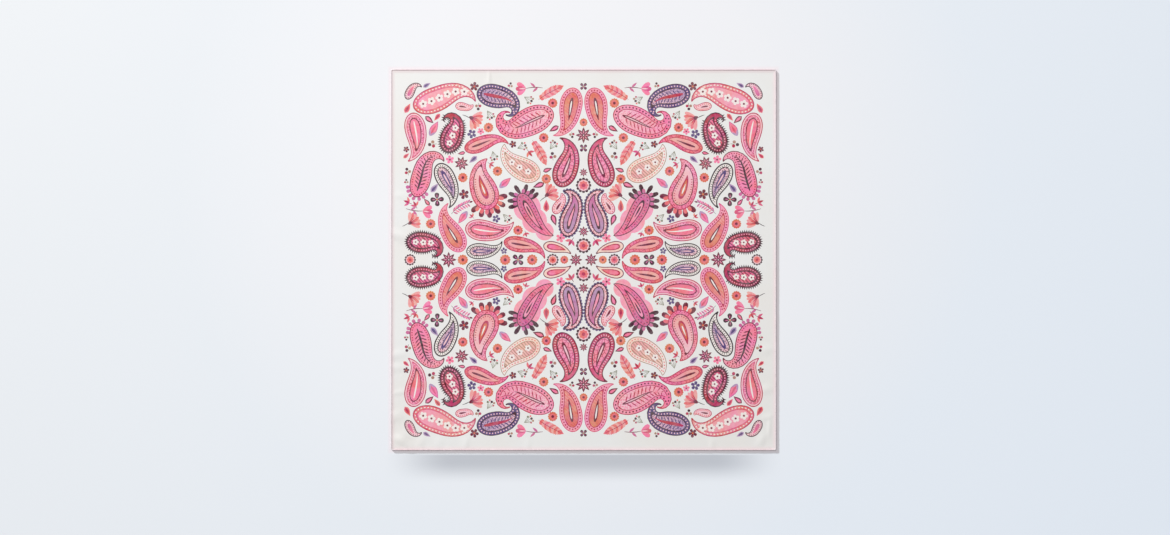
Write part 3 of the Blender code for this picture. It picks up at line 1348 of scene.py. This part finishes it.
def new_piece(name, data):
    piece = bpy.data.objects.new(name, data)
    bpy.context.scene.collection.objects.link(piece)
    return piece


# --- Materials ---


class Nodes:
    """Adds nodes to a new material and links them."""

    def __init__(self, name):
        self.material = bpy.data.materials.new(name)
        self.material.use_nodes = True
        self.tree = self.material.node_tree
        self.shader = self.tree.nodes["Principled BSDF"]

    def add(self, kind, inputs=None, **settings):
        node = self.tree.nodes.new(kind)
        for name, value in settings.items():
            setattr(node, name, value)
        for key, value in (inputs or {}).items():
            self.set(node.inputs[key], value)
        return node

    def set(self, socket, value):
        if isinstance(value, bpy.types.NodeSocket):
            self.tree.links.new(value, socket)
        else:
            socket.default_value = value

    def shade(self, values):
        """Sets the shader's sockets: plain numbers and colours stay on the socket itself."""
        for name, value in values.items():
            self.set(self.shader.inputs[name], value)

    def noise(self, place, size, detail=2.0, roughness=0.5):
        """Noise from about 0.3 to 0.7, with lumps of this size in metres."""
        inputs = {"Vector": place, "Scale": 1 / size, "Detail": detail, "Roughness": roughness}
        return self.add("ShaderNodeTexNoise", inputs).outputs["Fac"]

    def math(self, operation, *values, **settings):
        inputs = dict(enumerate(values))
        return self.add("ShaderNodeMath", inputs, operation=operation, **settings).outputs[0]

    def fit(self, value, low, high, to_low, to_high, **settings):
        """value from low to high as to_low to to_high, and no further."""
        names = ("Value", "From Min", "From Max", "To Min", "To Max")
        inputs = dict(zip(names, (value, low, high, to_low, to_high)))
        return self.add("ShaderNodeMapRange", inputs, **settings).outputs["Result"]

    def mix(self, share, first, second, blend="MIX"):
        node = self.add("ShaderNodeMix", data_type="RGBA", blend_type=blend)
        for socket, value in ((0, share), (6, first), (7, second)):
            self.set(node.inputs[socket], value)
        return node.outputs[2]

    def shaded(self, colour, share):
        """The colour times a grey."""
        grey = self.add("ShaderNodeCombineColor", {0: share, 1: share, 2: share}).outputs[0]
        return self.mix(1.0, colour, grey, "MULTIPLY")

    def place(self):
        return self.add("ShaderNodeNewGeometry").outputs["Position"]

    def from_middle(self, place, axis):
        """How far a place is from the scarf's middle along X or Y."""
        return self.math("ABSOLUTE", self.add("ShaderNodeSeparateXYZ", {0: place}).outputs[axis])

    def twill(self, place, rib, turn=45.0):
        """Fine slanting ribs, 0 in the grooves and 1 on the ribs, broken up a little."""
        inputs = {"Vector": place, "Rotation": (0, 0, math.radians(turn))}
        turned = self.add("ShaderNodeMapping", inputs).outputs["Vector"]
        inputs = {"Vector": turned, "Scale": BAND / rib, "Distortion": 0.6, "Detail": 1.0}
        return self.add("ShaderNodeTexWave", inputs, wave_type="BANDS").outputs["Fac"]

    def bump(self, height, distance, strength=1.0, normal=None):
        inputs = {"Height": height, "Distance": distance, "Strength": strength}
        if normal is not None:
            inputs["Normal"] = normal
        return self.add("ShaderNodeBump", inputs).outputs["Normal"]


SILK = (0.958, 0.955, 0.950)  # on screen
SILK_WARM = (0.955, 0.940, 0.925)
HEM_PINK = (0.885, 0.795, 0.812)
HEM_PALE = (0.900, 0.860, 0.870)
PALE_SIDES = 0.6  # share of the pale pink in the left and right hems
PALE_PATCHES = 0.5  # and the most that patches add to it
HEM_BLUSH = (0.985, 0.885, 0.900)  # where the hems' dye has bled into the cloth
BLUSH_SHARE = 0.5  # pinker silk beside the hems
BLUSH_REACH = 0.010
THREAD_PINK = (0.820, 0.580, 0.640)
TWILL_RIB = 0.00055
BAND = 0.314  # a wave texture's scale times the spacing of its bands
DOT_STEP = 0.0046  # spacing of the print's patterns
NET_CELL = 0.0085
LINE_STEP = 0.0042
PATTERN_SHARE = 0.85  # how much of a pattern's ink covers the one below
HUE_DRIFT = (0.487, 0.517)  # of the inks, where 0.5 leaves them as they are
THINNED = 0.13  # the most that the silk shows through an ink
POOLED = 0.30  # the most that an ink is doubled where it pooled


def solid(colour):
    return (*linear(colour), 1.0)


def pattern_masks(nodes, place):
    """How much of each pattern's own ink lies at a place: its dots, threads or lines."""
    flat = {"voronoi_dimensions": "2D"}
    inputs = {"Vector": place, "Scale": 1 / DOT_STEP, "Randomness": 0.75}
    dots = nodes.add("ShaderNodeTexVoronoi", inputs, **flat).outputs["Distance"]
    inputs = {"Vector": place, "Scale": 1 / NET_CELL}
    net = nodes.add("ShaderNodeTexVoronoi", inputs, feature="DISTANCE_TO_EDGE", **flat)
    inputs = {"Vector": place, "Scale": BAND / LINE_STEP, "Distortion": 3.0, "Detail": 1.0}
    lines = nodes.add("ShaderNodeTexWave", inputs, bands_direction="DIAGONAL").outputs["Fac"]
    return {
        "dots": nodes.fit(dots, 0.26, 0.34, 1.0, 0.0),
        "net": nodes.fit(net.outputs["Distance"], 0.06, 0.11, 1.0, 0.0),
        "lines": nodes.fit(lines, 0.60, 0.78, 0.0, 1.0),
    }


def beyond_hems(nodes, place):
    """How far a place lies outside the hems' centreline, below 0 inside."""
    beside = nodes.math("SUBTRACT", nodes.from_middle(place, "X"), HALF_WIDTH)
    below = nodes.math("SUBTRACT", nodes.from_middle(place, "Y"), HALF_LENGTH)
    return nodes.math("MAXIMUM", beside, below)


def patterned(nodes, place, ink):
    """The ink with the patterns drawn over it where the print's shapes call for them."""
    fill = nodes.add("ShaderNodeAttribute", attribute_name="fill")
    for name, mask in pattern_masks(nodes, place).items():
        chosen = nodes.math("COMPARE", fill.outputs["Alpha"], PATTERNS[name], 0.1)
        share = nodes.math("MULTIPLY", mask, chosen)
        ink = nodes.mix(nodes.math("MULTIPLY", share, PATTERN_SHARE), ink, fill.outputs["Color"])
    return ink


def printed_silk():
    """Off-white twill with the print's inks, which are a little uneven as on real silk."""
    nodes = Nodes("printed_silk_twill")
    place = nodes.place()
    print_layer = nodes.add("ShaderNodeAttribute", attribute_name="ink")
    ink = patterned(nodes, place, print_layer.outputs["Color"])
    warm = nodes.fit(nodes.noise(place, 0.16, 2), 0.35, 0.65, 0, 1)
    ground = nodes.mix(warm, solid(SILK), solid(SILK_WARM))
    # the silk is pinker within BLUSH_REACH inside the hems
    hem_tint = nodes.fit(beyond_hems(nodes, place), -BLUSH_REACH, -HEM_ROLL, 0.0, BLUSH_SHARE)
    ground = nodes.mix(hem_tint, ground, solid(HEM_BLUSH))
    hue = nodes.fit(nodes.noise(place, 0.030, 3), 0.36, 0.64, *HUE_DRIFT)
    ink = nodes.add("ShaderNodeHueSaturation", {"Hue": hue, "Color": ink}).outputs["Color"]
    thin = nodes.fit(nodes.noise(place, 0.013, 4, 0.6), 0.36, 0.66, 0.0, THINNED)
    ink = nodes.mix(thin, ink, ground)
    pooled = nodes.fit(nodes.noise(place, 0.006, 3), 0.45, 0.68, 0.0, POOLED)
    ink = nodes.mix(pooled, ink, ink, "MULTIPLY")
    colour = nodes.mix(print_layer.outputs["Alpha"], ground, ink)
    twill = nodes.twill(place, TWILL_RIB)
    nodes.shade({
        # painted shade: the colour is up to 4.5% darker in the twill's grooves
        "Base Color": nodes.shaded(colour, nodes.fit(twill, 0, 1, 0.955, 1.0)),
        "Roughness": nodes.fit(nodes.noise(place, 0.03, 2), 0.3, 0.7, 0.40, 0.50),
        "Normal": nodes.bump(twill, 0.00006, 0.5),
        "Specular IOR Level": 0.35,
        "Sheen Weight": 0.22,
        "Sheen Roughness": 0.35,
        "Sheen Tint": (1.0, 0.96, 0.96, 1.0),
    })
    return nodes.material


def hem_silk():
    """Pink twill, paler at the left and right and in patches."""
    nodes = Nodes("rolled_pink_silk")
    place = nodes.place()
    across = nodes.from_middle(place, "X")
    sides = nodes.fit(across, HALF_WIDTH - 0.012, HALF_WIDTH - 0.004, 0.0, PALE_SIDES)
    patches = nodes.fit(nodes.noise(place, 0.09, 2), 0.40, 0.62, 0.0, PALE_PATCHES)
    pale = nodes.math("ADD", sides, patches, use_clamp=True)
    colour = nodes.mix(pale, solid(HEM_PINK), solid(HEM_PALE))
    mottle = nodes.fit(nodes.noise(place, 0.004, 3), 0.3, 0.7, 0.88, 1.04)
    nodes.shade({
        "Base Color": nodes.shaded(colour, mottle),
        "Normal": nodes.bump(nodes.twill(place, TWILL_RIB, 20.0), 0.00008, 0.6),
        "Roughness": 0.42,
        "Sheen Weight": 0.25,
        "Sheen Roughness": 0.35,
    })
    return nodes.material


def thread_silk():
    nodes = Nodes("pink_silk_thread")
    place = nodes.place()
    tone = nodes.fit(nodes.noise(place, 0.0012, 1), 0.3, 0.7, 0, 1)
    colour = nodes.mix(tone, solid(THREAD_PINK), solid(HEM_PINK))
    nodes.shade({"Base Color": colour, "Roughness": 0.35})
    return nodes.material


# --- The floor, lights and camera ---

FLOOR_SIZE = 16.0
# Painted light: the floor's colour changes with place to lay the light's spread and cool tint
# over it, neutral at the top left and round FLOOR_MIDDLE, and bluer towards the bottom right
FLOOR_LIT = (0.790, 0.790, 0.799)  # towards the top left
FLOOR_COOL = (0.803, 0.820, 0.852)  # towards the bottom right
FLOOR_HEADING = (0.80, -0.60, 0)  # from the one to the other
FLOOR_RUN = 1.5  # from the middle to where each is reached
FLOOR_NEAR = (0.828, 0.817, 0.826)  # round FLOOR_MIDDLE
FLOOR_MIDDLE = (0, 0.20, 0)
NEAR_SHARE = 0.85
NEAR_REACH = (0.50, 0.95)  # from where it begins to thin out to where it ends
SHADE_TINT = (0.0, 0.12, 0.26)  # what the soft shade darkens the floor towards
HEM_BOUNCE_PAINT = (0.840, 0.750, 0.765)  # painted reflection: the pink light that the hems throw onto the floor beside them
BOUNCE_SHARE = 0.35
BOUNCE_REACH = (0.004, 0.010)
SHADE_GAP = -0.453  # along Y, where the soft shade begins, below the hem's own shadow
SHADE_EDGE = 0.004  # over which it begins
SHADE_START = -0.470  # where it is still full
SHADE_END = -0.525
SHADE_CORE = 0.30  # along X, to where it is full, and to where it ends
SHADE_REACH = 0.475
SHADE_DEPTH = 0.36
FRAME_WIDTH = 2.733  # of what the picture shows across, at the floor
CAMERA_HEIGHT = 4.2
CAMERA_X = 0.0034
CAMERA_Y = -0.018
SKY = (0.96, 0.98, 1.0, 1.0)
SKY_STRENGTH = 0.50
KEY_PLACE = (-2.2, 2.8, 4.4)
KEY_POWER = 165
SUN_PLACE = (-2.3, 2.5, 0.77)  # low, beyond the scarf's top left corner
SUN_POWERS = {"floor_sun": 7.2, "cloth_sun": 0.95, "hem_sun": 1.8}
SUN_COLOUR = (0.93, 0.99, 1.0)
SUN_ANGLE = math.radians(4)


def soft_shade(nodes, place):
    """The soft shade on the floor below the scarf's lower edge, which thins out at its ends."""
    y = nodes.add("ShaderNodeSeparateXYZ", {0: place}).outputs["Y"]
    smooth = {"interpolation_type": "SMOOTHSTEP"}
    down = nodes.fit(y, SHADE_END, SHADE_START, 0.0, SHADE_DEPTH, **smooth)
    across = nodes.from_middle(place, "X")
    across = nodes.fit(across, SHADE_CORE, SHADE_REACH, 1.0, 0.0, **smooth)
    under = nodes.fit(y, SHADE_GAP - SHADE_EDGE, SHADE_GAP, 1.0, 0.0)
    return nodes.math("MULTIPLY", nodes.math("MULTIPLY", down, across), under)


def pale_floor():
    nodes = Nodes("pale_floor")
    place = nodes.place()
    # painted light: the floor's tone changes with place as the light spreads over it
    inputs = {0: place, 1: FLOOR_HEADING}
    along = nodes.add("ShaderNodeVectorMath", inputs, operation="DOT_PRODUCT").outputs["Value"]
    share = nodes.fit(along, -FLOOR_RUN, FLOOR_RUN, 0.0, 1.0)
    colour = nodes.mix(share, solid(FLOOR_LIT), solid(FLOOR_COOL))
    inputs = {0: place, 1: FLOOR_MIDDLE}
    far = nodes.add("ShaderNodeVectorMath", inputs, operation="DISTANCE").outputs["Value"]
    near = nodes.fit(far, *NEAR_REACH, NEAR_SHARE, 0.0)
    colour = nodes.mix(near, colour, solid(FLOOR_NEAR))
    # painted reflection: pink from the hems on the floor just outside them
    painted_bounce = nodes.fit(beyond_hems(nodes, place), *BOUNCE_REACH, BOUNCE_SHARE, 0.0)
    colour = nodes.mix(painted_bounce, colour, solid(HEM_BOUNCE_PAINT))
    colour = nodes.mix(soft_shade(nodes, place), colour, solid(SHADE_TINT))
    nodes.shade({"Base Color": colour, "Roughness": 0.8, "Specular IOR Level": 0.2})
    return nodes.material


def make_floor():
    mesh = bmesh.new()
    bmesh.ops.create_grid(mesh, x_segments=1, y_segments=1, size=FLOOR_SIZE / 2)
    plane = bpy.data.meshes.new("floor")
    mesh.to_mesh(plane)
    mesh.free()
    floor = new_piece("floor", plane)
    floor.data.materials.append(pale_floor())
    floor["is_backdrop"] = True
    return floor


def make_lamp(name, kind, location, energy, colour, **settings):
    """A lamp that shines on the scarf's middle."""
    data = bpy.data.lights.new(name, kind)
    data.energy = energy
    data.color = colour
    for key, value in settings.items():
        setattr(data, key, value)
    lamp = new_piece(name, data)
    lamp.location = location
    lamp.rotation_euler = (-lamp.location).to_track_quat("-Z", "Y").to_euler()
    return lamp


def only_on(lamp, pieces):
    """The lamp lights these pieces alone, though all pieces shade it."""
    lit = bpy.data.collections.new("lit_by_" + lamp.name)
    for piece in pieces:
        lit.objects.link(piece)
    lamp.light_linking.receiver_collection = lit


def make_lights(floor, cloth, hems):
    """A soft lamp, a pale sky, and a low sun with a strength of its own for each of the floor,
    the cloth and the hems. On the floor it draws the edge's shadow."""
    world = bpy.data.worlds.new("studio")
    bpy.context.scene.world = world
    world.use_nodes = True
    background = world.node_tree.nodes["Background"]
    background.inputs["Color"].default_value = SKY
    background.inputs["Strength"].default_value = SKY_STRENGTH
    make_lamp("key", "AREA", KEY_PLACE, KEY_POWER, (1.0, 0.99, 0.97), size=2.0)
    for name, lit in (("floor_sun", [floor]), ("cloth_sun", [cloth]), ("hem_sun", hems)):
        sun = make_lamp(name, "SUN", SUN_PLACE, SUN_POWERS[name], SUN_COLOUR, angle=SUN_ANGLE)
        only_on(sun, lit)


def make_camera():
    data = bpy.data.cameras.new("camera")
    data.sensor_width = 36.0
    data.lens = data.sensor_width * CAMERA_HEIGHT / FRAME_WIDTH
    camera = new_piece("camera", data)
    camera.location = (CAMERA_X, CAMERA_Y, CAMERA_HEIGHT)
    bpy.context.scene.camera = camera


# --- The scene ---


def make_hems():
    hem_material = hem_silk()
    thread_material = thread_silk()
    pieces = []
    for side, route in zip(HEM_SIDES, hem_routes()):
        hem = make_hem(side, route)
        hem.data.materials.append(hem_material)
        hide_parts("hem_" + side)
        stitches = make_stitches(side, route)
        stitches.data.materials.append(thread_material)
        pieces += [hem, stitches]
    for piece in pieces:
        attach(piece, "root")
    return pieces


def build_scene():
    make_camera()
    floor = make_floor()
    hems = make_hems()
    cloth = make_cloth()
    cloth.data.materials.append(printed_silk())
    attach(cloth, "root")
    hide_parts("scarf_panel")
    make_lights(floor, cloth, hems)
    bpy.context.scene.view_settings.view_transform = "Standard"


build_scene()

sizes = {"cad": cad_box, "visual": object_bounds()}
{name: [list(corner) for corner in box] for name, box in sizes.items()}
